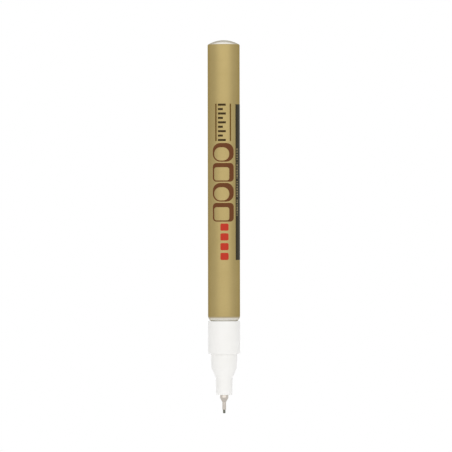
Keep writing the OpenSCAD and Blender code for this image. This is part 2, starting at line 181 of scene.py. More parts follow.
floor_mesh = bpy.data.meshes.new("floor")
shape = bmesh.new()
bmesh.ops.create_circle(shape, cap_ends=True, segments=FLOOR_STEPS, radius=FLOOR_RADIUS)
shape.to_mesh(floor_mesh)
shape.free()
floor = bpy.data.objects.new("floor", floor_mesh)
floor.location.z = cad_box[0].z - FLOOR_DROP
bpy.context.scene.collection.objects.link(floor)

pale = bpy.data.materials.new("pale_floor")
pale.use_nodes = True
tree = pale.node_tree
tree.nodes.clear()
place = put(tree, "ShaderNodeTexCoord").outputs["Object"]
reach = put(tree, "ShaderNodeVectorMath", {0: place}, operation="LENGTH").outputs["Value"]
rim = remap(tree, reach, FLOOR_FADE, FLOOR_RADIUS)
matt = put(tree, "ShaderNodeBsdfDiffuse", {"Color": (FLOOR_GREY, FLOOR_GREY, FLOOR_GREY, 1)}).outputs[0]
lift = put(tree, "ShaderNodeEmission", {"Color": (1, 1, 1, 1), "Strength": FLOOR_LIFT}).outputs[0]
lit = put(tree, "ShaderNodeAddShader", {0: matt, 1: lift}).outputs[0]
blank = put(tree, "ShaderNodeEmission", {"Color": (1, 1, 1, 1), "Strength": 1.0}).outputs[0]
sheet = put(tree, "ShaderNodeMixShader", {0: rim, 1: lit, 2: blank}).outputs[0]
clear = put(tree, "ShaderNodeBsdfTransparent").outputs[0]
above = maths(tree, "SUBTRACT", 1.0, put(tree, "ShaderNodeNewGeometry").outputs["Backfacing"])
seen = maths(tree, "MULTIPLY", shown(tree), above)
surface = put(tree, "ShaderNodeMixShader", {0: seen, 1: clear, 2: sheet})
put(tree, "ShaderNodeOutputMaterial", {"Surface": surface.outputs[0]})
floor_mesh.materials.append(pale)


# The barrel. One aluminium can, impact extruded with its rear end closed, its open edge rolled in over
# the front holder. Gold lacquer covers the wall; the dome and the rolled edge are left bare.
ROUND = 192
SHARP_DEG = 32


def srgb(red, green, blue):
    """A colour from its 8-bit screen values, as a shader takes it."""
    parts = [c / 255 for c in (red, green, blue)]
    return tuple(c / 12.92 if c <= 0.04045 else ((c + 0.055) / 1.055) ** 2.4 for c in parts) + (1.0,)


def arc(x, z, r, start, end, steps):
    """Points of an arc round (x, z) from one angle to another, in degrees, with both ends."""
    angles = [math.radians(start + (end - start) * i / steps) for i in range(steps + 1)]
    return [(x + r * math.cos(a), z + r * math.sin(a)) for a in angles]


def piece(name, mesh, material):
    """A finished mesh as an object at the origin, smooth but for its sharp edges."""
    for face in mesh.polygons:
        face.use_smooth = True
    mesh.set_sharp_from_angle(angle=math.radians(SHARP_DEG))
    mesh.materials.clear()
    mesh.materials.append(material)
    made = bpy.data.objects.new(name, mesh)
    bpy.context.scene.collection.objects.link(made)
    return made


def stands_for(made, body, node):
    """Fixes a piece to its body in place of a node, which it hides."""
    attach(made, body)
    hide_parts(node)


def turned(name, profile, radius_at=None, round_steps=ROUND):
    """A mesh turned from (radius, height) points in millimetres: from the axis to the axis, or a closed
    ring of points for a piece with a hole. radius_at may change a radius at an angle."""
    shape = bmesh.new()
    rows = []
    for r, z in profile:
        if r < 1e-6:
            rows.append([shape.verts.new((0, 0, z * MM))])
            continue
        row = []
        for i in range(round_steps):
            a = 2 * math.pi * i / round_steps
            at = radius_at(r, z, a) if radius_at else r
            row.append(shape.verts.new((at * math.cos(a) * MM, at * math.sin(a) * MM, z * MM)))
        rows.append(row)
    closed = len(rows[0]) > 1
    for k in range(len(rows) if closed else len(rows) - 1):
        low, high = rows[k], rows[(k + 1) % len(rows)]
        for i in range(round_steps):
            j = (i + 1) % round_steps
            if len(low) == 1:
                shape.faces.new((low[0], high[i], high[j]))
            elif len(high) == 1:
                shape.faces.new((low[i], high[0], low[j]))
            else:
                shape.faces.new((low[i], low[j], high[j], high[i]))
    bmesh.ops.recalc_face_normals(shape, faces=shape.faces)
    mesh = bpy.data.meshes.new(name)
    shape.to_mesh(mesh)
    shape.free()
    return mesh


BARREL_WALL = 0.4
WALL_ROWS = (50, 75, 100, 120)
LIP_R = 2.55
LIP_ANGLE = 55
LIP_EDGE_R = 0.12
DOME_R = 10.8
DOME_WALL = 0.6
DOME_EDGE_R = 0.4
DOME_INNER_EDGE_R = 0.9

barrel_low, barrel_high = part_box("barrel")
barrel_r = barrel_high.x / MM
lip_z = barrel_low.z / MM
top_z = barrel_high.z / MM
roll_x = barrel_r - LIP_R
roll_z = lip_z + LIP_R * math.sin(math.radians(LIP_ANGLE))


def can_line(r, top, dome, edge):
    """The wall's end and the dome of a can of radius r, from the wall to the axis."""
    dome_z = top - dome
    edge_z = dome_z + math.sqrt((dome - edge) ** 2 - (r - edge) ** 2)
    lean = math.degrees(math.atan2(edge_z - dome_z, r - edge))
    return arc(r - edge, edge_z, edge, 0, lean, 8) + arc(0, dome_z, dome, lean, 90, 24)[1:-1] + [(0, top)]


def rolled_line(r, steps):
    """The rolled lip, from its cut edge up to the wall, at radius r from the roll's centre."""
    spare = math.degrees(LIP_EDGE_R / r)
    return arc(roll_x, roll_z, r, -(LIP_ANGLE - spare), 0, steps)


cut_x, cut_z = arc(roll_x, roll_z, LIP_R - BARREL_WALL / 2, -LIP_ANGLE, 0, 1)[0]
cut_half = BARREL_WALL / 2 - LIP_EDGE_R
lean = math.radians(-LIP_ANGLE)
outer_end = (cut_x + cut_half * math.cos(lean), cut_z + cut_half * math.sin(lean))
inner_end = (cut_x - cut_half * math.cos(lean), cut_z - cut_half * math.sin(lean))
outside = [outer_end] + rolled_line(LIP_R, 18) + [(barrel_r, z) for z in WALL_ROWS]
outside += can_line(barrel_r, top_z, DOME_R, DOME_EDGE_R)
inside = [inner_end] + rolled_line(LIP_R - BARREL_WALL, 12)
inside += can_line(barrel_r - BARREL_WALL, top_z - DOME_WALL, DOME_R - DOME_WALL, DOME_INNER_EDGE_R)
barrel_mesh = turned("barrel_shell", inside[::-1] + outside)


def group(name, inputs, outputs):
    """An empty shader group with named number inputs and their values, and named outputs."""
    made = bpy.data.node_groups.new(name, "ShaderNodeTree")
    for label, value in inputs.items():
        made.interface.new_socket(label, in_out="INPUT", socket_type="NodeSocketFloat").default_value = value
    for label, kind in outputs.items():
        made.interface.new_socket(label, in_out="OUTPUT", socket_type=kind)
    return made, made.nodes.new("NodeGroupInput").outputs, made.nodes.new("NodeGroupOutput")


# Fine rings left by the tool on turned, spun or drawn metal, spaced along the axis and across an end
tool_rings, given, given_out = group("tool_rings", {"Lines per mm": 12.0}, {"Height": "NodeSocketFloat"})
place = put(tool_rings, "ShaderNodeTexCoord").outputs["Object"]
parts = put(tool_rings, "ShaderNodeSeparateXYZ", {0: place}).outputs
squared = maths(tool_rings, "MULTIPLY", parts["Y"], parts["Y"])
across = maths(tool_rings, "SQRT", maths(tool_rings, "MULTIPLY_ADD", parts["X"], parts["X"], squared))
along = maths(tool_rings, "ADD", parts["Z"], across)
steps = maths(tool_rings, "MULTIPLY", along, maths(tool_rings, "MULTIPLY", given["Lines per mm"], 1 / MM))
inputs = {"W": steps, "Scale": 1.0, "Detail": 3.0}
rings = put(tool_rings, "ShaderNodeTexNoise", inputs, noise_dimensions="1D")
tool_rings.links.new(rings.outputs[0], given_out.inputs["Height"])

# Slow unevenness of a sprayed, printed or moulded surface, and a fine grain on top of it
uneven, given, given_out = group(
    "uneven",
    {"Slow per mm": 0.15, "Fine per mm": 9.0},
    {"Slow": "NodeSocketFloat", "Fine": "NodeSocketFloat"},
)
place = put(uneven, "ShaderNodeTexCoord").outputs["Object"]
for label, key in (("Slow", "Slow per mm"), ("Fine", "Fine per mm")):
    scale = maths(uneven, "MULTIPLY", given[key], 1 / MM)
    noise = put(uneven, "ShaderNodeTexNoise", {"Vector": place, "Scale": scale, "Detail": 2.0})
    uneven.links.new(noise.outputs[0], given_out.inputs[label])


def use(tree, shared, **values):
    """Places a shared group in a material, with its own values."""
    made = put(tree, "ShaderNodeGroup", node_tree=shared)
    for key, value in values.items():
        made.inputs[key.replace("_", " ")].default_value = value
    return made.outputs


def finish_of(name, colour, roughness, metallic=0.0, **fixed):
    """A material with one Principled shader and its tree. fixed holds values that are the same all over."""
    made = bpy.data.materials.new(name)
    made.use_nodes = True
    shader = made.node_tree.nodes["Principled BSDF"]
    shader.inputs["Base Color"].default_value = colour
    shader.inputs["Roughness"].default_value = roughness
    shader.inputs["Metallic"].default_value = metallic
    for key, value in fixed.items():
        shader.inputs[key.replace("_", " ")].default_value = value
    return made, made.node_tree, shader.inputs


def relief(tree, height, depth_mm, strength=1.0):
    """A bump of the given depth."""
    inputs = {"Height": height, "Distance": depth_mm * MM, "Strength": strength}
    return put(tree, "ShaderNodeBump", inputs).outputs[0]


GOLD = srgb(169, 151, 103)
GOLD_DEEP = srgb(163, 145, 97)
GOLD_EDGE = (0.55, 0.5, 0.38, 1.0)
ALUMINIUM = srgb(198, 197, 195)
# The rolled lip's bare aluminium is the dome's metal painted much lighter: a painted highlight.
ALUMINIUM_LIP_PAINTED_HIGHLIGHT = srgb(246, 244, 238)
LACQUER_TOP = 1.5
LACQUER_TOP_FADE = 0.1
LACQUER_FOOT = 1.2
LACQUER_FOOT_FADE = 0.7
LACQUER_SKIN = 0.02

lacquer, tree, shader = finish_of("gold_lacquer", GOLD, 0.42, 1.0, Specular_Tint=GOLD_EDGE)
noise = use(tree, uneven, Slow_per_mm=0.12, Fine_per_mm=7.0)
rings = use(tree, tool_rings, Lines_per_mm=9.0)["Height"]
place = put(tree, "ShaderNodeTexCoord").outputs["Object"]
height = maths(tree, "DIVIDE", put(tree, "ShaderNodeSeparateXYZ", {0: place}).outputs["Z"], MM)
wave = maths(tree, "MULTIPLY", maths(tree, "SUBTRACT", noise["Slow"], 0.5), 0.25)
height = maths(tree, "ADD", height, wave)
foot_z, head_z = lip_z + LACQUER_FOOT, top_z - LACQUER_TOP
foot = remap(tree, height, foot_z - LACQUER_FOOT_FADE, foot_z + LACQUER_FOOT_FADE)
head = remap(tree, height, head_z - LACQUER_TOP_FADE, head_z + LACQUER_TOP_FADE, 1.0, 0.0)
flat = put(tree, "ShaderNodeVectorMath", {0: place, 1: (1, 1, 0)}, operation="MULTIPLY").outputs[0]
reach = put(tree, "ShaderNodeVectorMath", {0: flat}, operation="LENGTH").outputs["Value"]
bore = (barrel_r - BARREL_WALL) * MM
outer = remap(tree, reach, bore + LACQUER_SKIN * MM, bore + 2 * LACQUER_SKIN * MM)
covered = maths(tree, "MULTIPLY", maths(tree, "MULTIPLY", foot, head), outer)
stretch = put(tree, "ShaderNodeMapping", {"Vector": place, "Scale": (3 / MM, 3 / MM, 0.02 / MM)}).outputs[0]
drawn = put(tree, "ShaderNodeTexNoise", {"Vector": stretch, "Scale": 1.0, "Detail": 2.0}).outputs[0]
flakes = put(tree, "ShaderNodeTexVoronoi", {"Vector": place, "Scale": 11 / MM}).outputs["Color"]
flake = maths(tree, "SUBTRACT", put(tree, "ShaderNodeSeparateColor", {0: flakes}).outputs[0], 0.5)
tint = maths(tree, "ADD", noise["Slow"], maths(tree, "MULTIPLY", flake, 0.5))
gold = blend_colour(tree, remap(tree, tint, 0.25, 0.8), GOLD_DEEP, GOLD)
# Below the lacquer's foot the bare metal takes the lighter lip colour, a painted highlight on the rolled
# lip.
bare = blend_colour(tree, foot, ALUMINIUM_LIP_PAINTED_HIGHLIGHT, ALUMINIUM)
tree.links.new(blend_colour(tree, covered, bare, gold), shader["Base Color"])
rough_gold = maths(tree, "MULTIPLY_ADD", noise["Fine"], 0.1, 0.44)
rough_bare = maths(tree, "MULTIPLY_ADD", rings, 0.14, 0.2)
mixed = put(tree, "ShaderNodeMix", {0: covered, 2: rough_bare, 3: rough_gold}).outputs[0]
tree.links.new(mixed, shader["Roughness"])
fine = maths(tree, "MULTIPLY_ADD", noise["Fine"], 0.6, drawn)
film_height = put(tree, "ShaderNodeMix", {0: covered, 2: rings, 3: fine}).outputs[0]
edge = maths(tree, "MULTIPLY_ADD", covered, 2.5, film_height)
tree.links.new(relief(tree, edge, 0.006, 0.6), shader["Normal"])

barrel = piece("barrel_shell", barrel_mesh, lacquer)
stands_for(barrel, "marker_body", "barrel")


# The print. Screen-printed ink on the lacquer, in fields and simple shapes: outlined blocks with a thick
# shadow, red bars, two brown rules with a scale of ticks, and a dark band round the right side.
INK = 0.05
INK_UNDER = 0.02
INK_ROUGH = 0.4
WRAP_STEP = 0.3
PRINT_SHIFT = 0.2
CORNER_STEPS = 10


def tree_with(name, whole=(), real=(), vectors=(), start=False):
    """An empty tree of Geometry Nodes with named inputs: whole numbers, real ones, vectors, a mesh."""
    made = bpy.data.node_groups.new(name, "GeometryNodeTree")
    if start:
        made.interface.new_socket("Mesh", in_out="INPUT", socket_type="NodeSocketGeometry")
    for labels, kind in ((whole, "Int"), (real, "Float"), (vectors, "Vector")):
        for label in labels:
            made.interface.new_socket(label, in_out="INPUT", socket_type="NodeSocket" + kind)
    made.interface.new_socket("Material", in_out="INPUT", socket_type="NodeSocketMaterial")
    made.interface.new_socket("Mesh", in_out="OUTPUT", socket_type="NodeSocketGeometry")
    return made, made.nodes.new("NodeGroupInput").outputs


def end_tree(tree, given, mesh):
    """Ends a tree: its instances are made real and get their material."""
    real = put(tree, "GeometryNodeRealizeInstances", {0: mesh}).outputs[0]
    inputs = {"Geometry": real, "Material": given["Material"]}
    finished = put(tree, "GeometryNodeSetMaterial", inputs).outputs[0]
    tree.links.new(finished, tree.nodes.new("NodeGroupOutput").inputs[0])


def grown(name, tree, values, start=None):
    """The plain mesh that a tree makes of its inputs, and of a start mesh where it takes one."""
    holder = bpy.data.objects.new(name, start or bpy.data.meshes.new(name))
    bpy.context.scene.collection.objects.link(holder)
    step = holder.modifiers.new(name, "NODES")
    step.node_group = tree
    for socket in tree.interface.items_tree:
        if socket.in_out == "INPUT" and socket.name in values:
            step[socket.identifier] = values[socket.name]
    seen = holder.evaluated_get(bpy.context.evaluated_depsgraph_get())
    mesh = bpy.data.meshes.new_from_object(seen)
    holder.modifiers.clear()
    bpy.data.objects.remove(holder)
    return mesh


# A row of flat marks, every other one with its own width and corners; an outline leaves the mark open
marks, given = tree_with(
    "print_row",
    whole=("Count",),
    real=("Width", "Other Width", "Length", "Corner", "Other Corner", "Outline", "Shadow"),
    vectors=("First", "Pitch"),
)
inputs = {"Count": given["Count"], "Start Location": given["First"], "Offset": given["Pitch"]}
row = put(marks, "GeometryNodeMeshLine", inputs)
index = put(marks, "GeometryNodeInputIndex").outputs[0]
odd = maths(marks, "MODULO", index, 2.0)


def frame_curve(width, length, corner, across, along):
    """A rectangle with round corners, its lower left corner at (across, along)."""
    size = {"Width": width, "Height": length}
    flat = put(marks, "GeometryNodeCurvePrimitiveQuadrilateral", size).outputs[0]
    inputs = {"Curve": flat, "Count": CORNER_STEPS, "Radius": corner}
    rounded = put(marks, "GeometryNodeFilletCurve", inputs, mode="POLY").outputs[0]
    x = maths(marks, "MULTIPLY_ADD", width, 0.5, across)
    y = maths(marks, "MULTIPLY_ADD", length, 0.5, along)
    place = put(marks, "ShaderNodeCombineXYZ", {0: x, 1: y}).outputs[0]
    return put(marks, "GeometryNodeTransform", {"Geometry": rounded, "Translation": place}).outputs[0]


def less(value, *parts):
    """value without each of the parts."""
    for part in parts:
        value = maths(marks, "SUBTRACT", value, part)
    return value


copies = []
outline, shadow = given["Outline"], given["Shadow"]
for width, corner, chosen in (
    (given["Width"], given["Corner"], maths(marks, "LESS_THAN", odd, 0.5)),
    (given["Other Width"], given["Other Corner"], odd),
):
    outer = frame_curve(width, given["Length"], corner, 0.0, 0.0)
    inner_w = less(width, shadow, outline, outline)
    inner_len = less(given["Length"], shadow, outline, outline)
    inner = frame_curve(inner_w, inner_len, less(corner, outline), outline, outline)
    inputs = {"Switch": outline, "True": inner}
    opened = put(marks, "GeometryNodeSwitch", inputs, input_type="GEOMETRY").outputs[0]
    both = put(marks, "GeometryNodeJoinGeometry", {0: outer})
    marks.links.new(opened, both.inputs[0])
    field = put(marks, "GeometryNodeFillCurve", {"Curve": both.outputs[0]}, mode="TRIANGLES").outputs[0]
    inputs = {"Points": row.outputs[0], "Selection": chosen, "Instance": field}
    copies.append(put(marks, "GeometryNodeInstanceOnPoints", inputs).outputs[0])
joined = put(marks, "GeometryNodeJoinGeometry", {0: copies[0]})
marks.links.new(copies[1], joined.inputs[0])
end_tree(marks, given, joined.outputs[0])


def seen_in_front(x):
    """The angle on the barrel, from the front to the right, of what lies x to the right in front view."""
    return math.asin((x - PRINT_SHIFT) / barrel_r)


def printed(name, flat_mesh, angle_at=seen_in_front):
    """Lays flat marks, x across and y along in millimetres, on the wall as a closed film of ink. Its foot
    is sunk a little in the lacquer."""
    flat = bmesh.new()
    flat.from_mesh(flat_mesh)
    bmesh.ops.remove_doubles(flat, verts=flat.verts, dist=1e-4)
    low = min(v.co.x for v in flat.verts)
    high = max(v.co.x for v in flat.verts)
    for i in range(math.ceil(low / WRAP_STEP), math.ceil(high / WRAP_STEP)):
        everything = flat.verts[:] + flat.edges[:] + flat.faces[:]
        bmesh.ops.bisect_plane(flat, geom=everything, plane_co=(i * WRAP_STEP, 0, 0), plane_no=(1, 0, 0))
    flat.verts.index_update()
    solid = bmesh.new()
    layers = []
    places = [(angle_at(v.co.x), v.co.y) for v in flat.verts]
    for r in (barrel_r + INK, barrel_r - INK_UNDER):
        spots = [(r * math.sin(a) * MM, -r * math.cos(a) * MM, z * MM) for a, z in places]
        layers.append([solid.verts.new(spot) for spot in spots])
    top, foot = layers
    for face in flat.faces:
        solid.faces.new([top[v.index] for v in face.verts])
        solid.faces.new([foot[v.index] for v in reversed(face.verts)])
    for rim in flat.edges:
        if rim.is_boundary:
            a, b = (v.index for v in rim.verts)
            solid.faces.new((top[a], top[b], foot[b], foot[a]))
    flat.free()
    bmesh.ops.recalc_face_normals(solid, faces=solid.faces)
    mesh = bpy.data.meshes.new(name)
    solid.to_mesh(mesh)
    solid.free()
    return mesh


def ink(name, colour, worn):
    """Printed ink: a slow change of colour, a fine grain of the screen and a few thin spots."""
    made, tree, shader = finish_of(name, colour, INK_ROUGH, Specular_IOR_Level=0.1)
    noise = use(tree, uneven, Slow_per_mm=0.4, Fine_per_mm=8.0)
    thin = remap(tree, noise["Fine"], 0.62, 0.75, 0.0, 0.35)
    shade = maths(tree, "ADD", thin, maths(tree, "MULTIPLY", noise["Slow"], 0.3))
    tree.links.new(blend_colour(tree, shade, colour, worn), shader["Base Color"])
    tree.links.new(maths(tree, "MULTIPLY_ADD", noise["Fine"], 0.2, INK_ROUGH), shader["Roughness"])
    tree.links.new(relief(tree, noise["Fine"], 0.008, 0.5), shader["Normal"])
    return made


def print_piece(node, material, values, angle_at=seen_in_front):
    """One group of marks in one ink, in place of its node. Where nothing else is said, every other mark
    has the same width and corners as the rest."""
    others = {"Other Width": values["Width"], "Other Corner": values["Corner"]}
    flat = grown(node + "_flat", marks, {**others, **values, "Material": material})
    made = piece(node + "_ink", printed(node + "_ink", flat, angle_at), material)
    stands_for(made, "marker_body", node)


BROWN = srgb(104, 60, 34)
BROWN_WORN = srgb(128, 86, 48)
BLOCKS = 4
BLOCK_W = 7.4
BLOCK_LEN = 6.7
BLOCK_GAP = 0.45
BLOCK_CORNER = 1.3
ROUND_RATIO = 0.96
OUTLINE = 0.42
SHADOW = 1.1

blocks_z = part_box("print_blocks")[0].z / MM
print_piece("print_blocks", ink("brown_ink", BROWN, BROWN_WORN), {
    "Count": BLOCKS,
    "First": (-BLOCK_W / 2, blocks_z, 0),
    "Pitch": (0, BLOCK_LEN + BLOCK_GAP, 0),
    "Width": BLOCK_W,
    "Length": BLOCK_LEN,
    "Corner": BLOCK_CORNER,
    "Other Corner": ROUND_RATIO * (BLOCK_LEN - SHADOW - 2 * OUTLINE) / 2 + OUTLINE,
    "Outline": OUTLINE,
    "Shadow": SHADOW,
})

RED = srgb(190, 54, 39)
RED_WORN = srgb(200, 80, 52)
BARS = 4
BAR_LEN = 2.55
BAR_W = 2.9
BAR_GAP = 0.95
BAR_SHIFT = 0.4
BAR_CORNER = 0.51

print_piece("print_bars", ink("red_ink", RED, RED_WORN), {
    "Count": BARS,
    "First": (BAR_SHIFT - BAR_W / 2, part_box("print_bars")[0].z / MM, 0),
    "Pitch": (0, BAR_LEN + BAR_GAP, 0),
    "Width": BAR_W,
    "Length": BAR_LEN,
    "Corner": BAR_CORNER,
})

RULE_BROWN = srgb(104, 76, 34)
RULE_WORN = srgb(128, 98, 50)
RULE_W = 0.45
RULE_PITCH = 5.2
SHARP_CORNER = 0.04

rules_low, rules_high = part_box("print_rules")
rule_z = rules_low.z / MM
rule_len = rules_high.z / MM - rule_z
print_piece("print_rules", ink("rule_ink", RULE_BROWN, RULE_WORN), {
    "Count": 2,
    "First": (-(RULE_PITCH + RULE_W) / 2, rule_z, 0),
    "Pitch": (RULE_PITCH, 0, 0),
    "Width": RULE_W,
    "Length": rule_len,
    "Corner": SHARP_CORNER,
})

TICK_DARK = srgb(56, 42, 18)
TICK_WORN = srgb(84, 66, 34)
TICKS = 9
TICK_LEN = 0.75
TICK_W = 2.8
TICK_RATIO = 0.62
TICK_SHIFT = 0.45

print_piece("print_ticks", ink("tick_ink", TICK_DARK, TICK_WORN), {
    "Count": TICKS,
    "First": (-TICK_W / 2 - TICK_SHIFT, rule_z, 0),
    "Pitch": (0, (rule_len - TICK_LEN) / (TICKS - 1), 0),
    "Width": TICK_W,
    "Other Width": TICK_W * TICK_RATIO,
    "Length": TICK_LEN,
    "Corner": SHARP_CORNER,
})

PANEL_DARK = srgb(50, 45, 30)
PANEL_WORN = srgb(66, 60, 43)
PANEL_START = 47.5
PANEL_END = 132

panel_low, panel_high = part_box("print_panel")
panel_x = math.radians(PANEL_START) * barrel_r
dark_ink = ink("dark_ink", PANEL_DARK, PANEL_WORN)
print_piece("print_panel", dark_ink, {
    "Count": 1,
    "First": (panel_x, panel_low.z / MM, 0),
    "Width": math.radians(PANEL_END) * barrel_r - panel_x,
    "Length": (panel_high.z - panel_low.z) / MM,
    "Corner": SHARP_CORNER,
}, angle_at=lambda x: x / barrel_r)

# A line of plain dashes left open in the dark field, in groups, through which the lacquer shows
FIELD_GOLD = srgb(158, 144, 108)
FIELD_ANGLE = 55.5
FIELD_W = 0.6
FIELD_FROM, FIELD_TO = 71.0, 95.2
FIELD_PITCH = 0.95
FIELD_DASH = (0.35, 0.85)
FIELD_GROUP = 7
FIELD_EDGE = 0.06

tree = dark_ink.node_tree
place = put(tree, "ShaderNodeTexCoord").outputs["Object"]
parts = put(tree, "ShaderNodeSeparateXYZ", {0: place}).outputs
turn = maths(tree, "ARCTAN2", parts["X"], maths(tree, "MULTIPLY", parts["Y"], -1.0))
off_line = maths(tree, "SUBTRACT", turn, math.radians(FIELD_ANGLE))
aside = maths(tree, "ABSOLUTE", maths(tree, "MULTIPLY", off_line, barrel_r))
along = maths(tree, "DIVIDE", parts["Z"], MM)
run = maths(tree, "DIVIDE", maths(tree, "SUBTRACT", along, FIELD_FROM), FIELD_PITCH)
group_run = maths(tree, "FRACT", maths(tree, "DIVIDE", run, FIELD_GROUP))
number = maths(tree, "ROUND", run)
length = put(tree, "ShaderNodeTexWhiteNoise", {"W": number}, noise_dimensions="1D").outputs["Value"]
half = maths(tree, "MULTIPLY_ADD", length, (FIELD_DASH[1] - FIELD_DASH[0]) / 2, FIELD_DASH[0] / 2)
beyond = maths(tree, "SUBTRACT", maths(tree, "ABSOLUTE", maths(tree, "SUBTRACT", run, number)), half)
dash = remap(tree, beyond, -FIELD_EDGE, FIELD_EDGE, 1.0, 0.0)
kept = maths(tree, "LESS_THAN", group_run, 1 - 1 / FIELD_GROUP)
within = maths(tree, "COMPARE", along, (FIELD_FROM + FIELD_TO) / 2, (FIELD_TO - FIELD_FROM) / 2)
line = remap(tree, aside, FIELD_W / 2 - FIELD_EDGE, FIELD_W / 2 + FIELD_EDGE, 1.0, 0.0)
dashes = maths(tree, "MULTIPLY", dash, kept)
strip = maths(tree, "MULTIPLY", within, line)
open_share = maths(tree, "MULTIPLY", dashes, strip)
shader = tree.nodes["Principled BSDF"].inputs
covered_colour = shader["Base Color"].links[0].from_socket
tree.links.new(blend_colour(tree, open_share, covered_colour, FIELD_GOLD), shader["Base Color"])


# The front holder. One injection moulding in white polypropylene: collar, spigot for the cap, taper and
# nozzle, and behind the rolled lip the plug with the valve's seat. It was cored from the rear.
COLLAR_LEN = 11.7
COLLAR_CHAMFER = 0.25
COLLAR_EDGE = 0.15
COLLAR_RIM_W = 0.4
COLLAR_RIM_H = 0.1
SPIGOT_R = 4.7
SPIGOT_LAND = 1.9
SPIGOT_LEN = 5.36
SPIGOT_FRONT_R = 4.47
SPIGOT_FILLET = 0.4
TAPER_LEN = 3.1
NOZZLE_R = 3.0
NOZZLE_FRONT_R = 2.85
NOZZLE_LEN = 6.27
NOZZLE_EDGE_R = 0.2
NOZZLE_BORE_R = 1.7
CHAMBER_R = 3.0
CHAMBER_FLOOR = 1.3
NECK_PLAY = 0.07
PLUG_PLAY = 0.05
PLUG_WALL = 1.4
PLUG_CHAMFER = 0.4
LEDGE_IN = 0.8
SEAL_IN = 2.0
SEAL_W = 1.1
SEAL_DEPTH = 0.7
BEAD_H = 0.15
BEAD_HALF = 0.5
BEAD_IN = 2.0
BEAD_PLAY = 0.03
SHANK_R = 1.25
SHANK_LEN = 4.6
SOFT = 0.08
INNER_SOFT = 0.04
SIDE_PER_CUT = 2.5
INNER_MARGIN = 0.5
PARTING_H = 0.02

nozzle_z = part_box("front_holder")[0].z / MM
plug_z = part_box("front_holder")[1].z / MM
taper_z = nozzle_z + NOZZLE_LEN
spigot_z = taper_z + TAPER_LEN
collar_z = spigot_z + SPIGOT_LEN
collar_top = collar_z + COLLAR_LEN
rim_z = collar_top + COLLAR_RIM_H
bore_r = barrel_r - BARREL_WALL
plug_r = bore_r - PLUG_PLAY
plug_bore_r = plug_r - PLUG_WALL
lip_hole_r = roll_x + (LIP_R - BARREL_WALL) * math.cos(math.radians(LIP_ANGLE))
neck_r = lip_hole_r - NECK_PLAY
shoulder_r = LIP_R - BARREL_WALL - PLUG_PLAY
shank_z = nozzle_z + SHANK_LEN
chamber_z = spigot_z + CHAMBER_FLOOR
ledge_z = roll_z + LEDGE_IN
seal_z = roll_z + SEAL_IN
bead_z = plug_z - BEAD_IN


def softened(points, r=SOFT, steps=3):
    """Rounds each corner of a line of points by about r, as a moulded edge is. Short sides limit it."""
    made = [points[0]]
    for before, here, after in zip(points, points[1:], points[2:]):
        back = Vector(before) - Vector(here)
        on = Vector(after) - Vector(here)
        cut = min(r, back.length / SIDE_PER_CUT, on.length / SIDE_PER_CUT)
        start = Vector(here) + back.normalized() * cut
        end = Vector(here) + on.normalized() * cut
        for i in range(steps + 1):
            t = i / steps
            at = start * (1 - t) ** 2 + Vector(here) * 2 * t * (1 - t) + end * t**2
            made.append(tuple(at))
    return made + [points[-1]]


face = arc(NOZZLE_FRONT_R - NOZZLE_EDGE_R, nozzle_z + NOZZLE_EDGE_R, NOZZLE_EDGE_R, -90, 0, 6)
root = arc(SPIGOT_R + SPIGOT_FILLET, collar_z - SPIGOT_FILLET, SPIGOT_FILLET, 180, 90, 8)
meet = math.degrees(math.asin((neck_r - roll_x) / shoulder_r))
shoulder = arc(roll_x, roll_z, shoulder_r, meet - 90, 0, 10)
holder_outside = softened(
    face
    + [(NOZZLE_R, taper_z), (SPIGOT_FRONT_R, spigot_z), (SPIGOT_R, collar_z - SPIGOT_LAND)]
    + root
    + [(barrel_r - COLLAR_CHAMFER / 2, collar_z), (barrel_r, collar_z + COLLAR_CHAMFER / 2)]
    + [(barrel_r, (collar_z + collar_top) / 2), (barrel_r, rim_z - COLLAR_EDGE)]
    + [(barrel_r - COLLAR_EDGE, rim_z), (barrel_r - COLLAR_RIM_W, rim_z)]
    + [(barrel_r - COLLAR_RIM_W - COLLAR_RIM_H, collar_top), (neck_r, collar_top)]
    + shoulder
    + [(plug_r, seal_z), (plug_r - SEAL_DEPTH, seal_z), (plug_r - SEAL_DEPTH, seal_z + SEAL_W)]
    + [(plug_r, seal_z + SEAL_W), (plug_r, plug_z - PLUG_CHAMFER), (plug_r - PLUG_CHAMFER, plug_z)]
    + [(plug_bore_r, plug_z)]
)
bead = BEAD_HALF + BEAD_PLAY
holder_inside = softened(
    [(plug_bore_r, plug_z), (plug_bore_r, bead_z + bead), (plug_bore_r + BEAD_H, bead_z + bead - BEAD_H)]
    + [(plug_bore_r + BEAD_H, bead_z - bead + BEAD_H), (plug_bore_r, bead_z - bead)]
    + [(plug_bore_r, ledge_z), (CHAMBER_R, ledge_z), (CHAMBER_R, chamber_z), (NOZZLE_BORE_R, chamber_z)]
    + [(NOZZLE_BORE_R, shank_z), (SHANK_R, shank_z), (SHANK_R, nozzle_z)],
    r=INNER_SOFT,
)


def parting(r, z, a):
    """The mould's two halves leave a faint raised line down each side of the outside."""
    outside = r > CHAMBER_R + SOFT or z < chamber_z and r > NOZZLE_BORE_R + INNER_MARGIN
    on_line = abs(math.sin(a)) < math.sin(math.pi / ROUND)
    return r + PARTING_H if outside and on_line and z < collar_top - COLLAR_CHAMFER else r


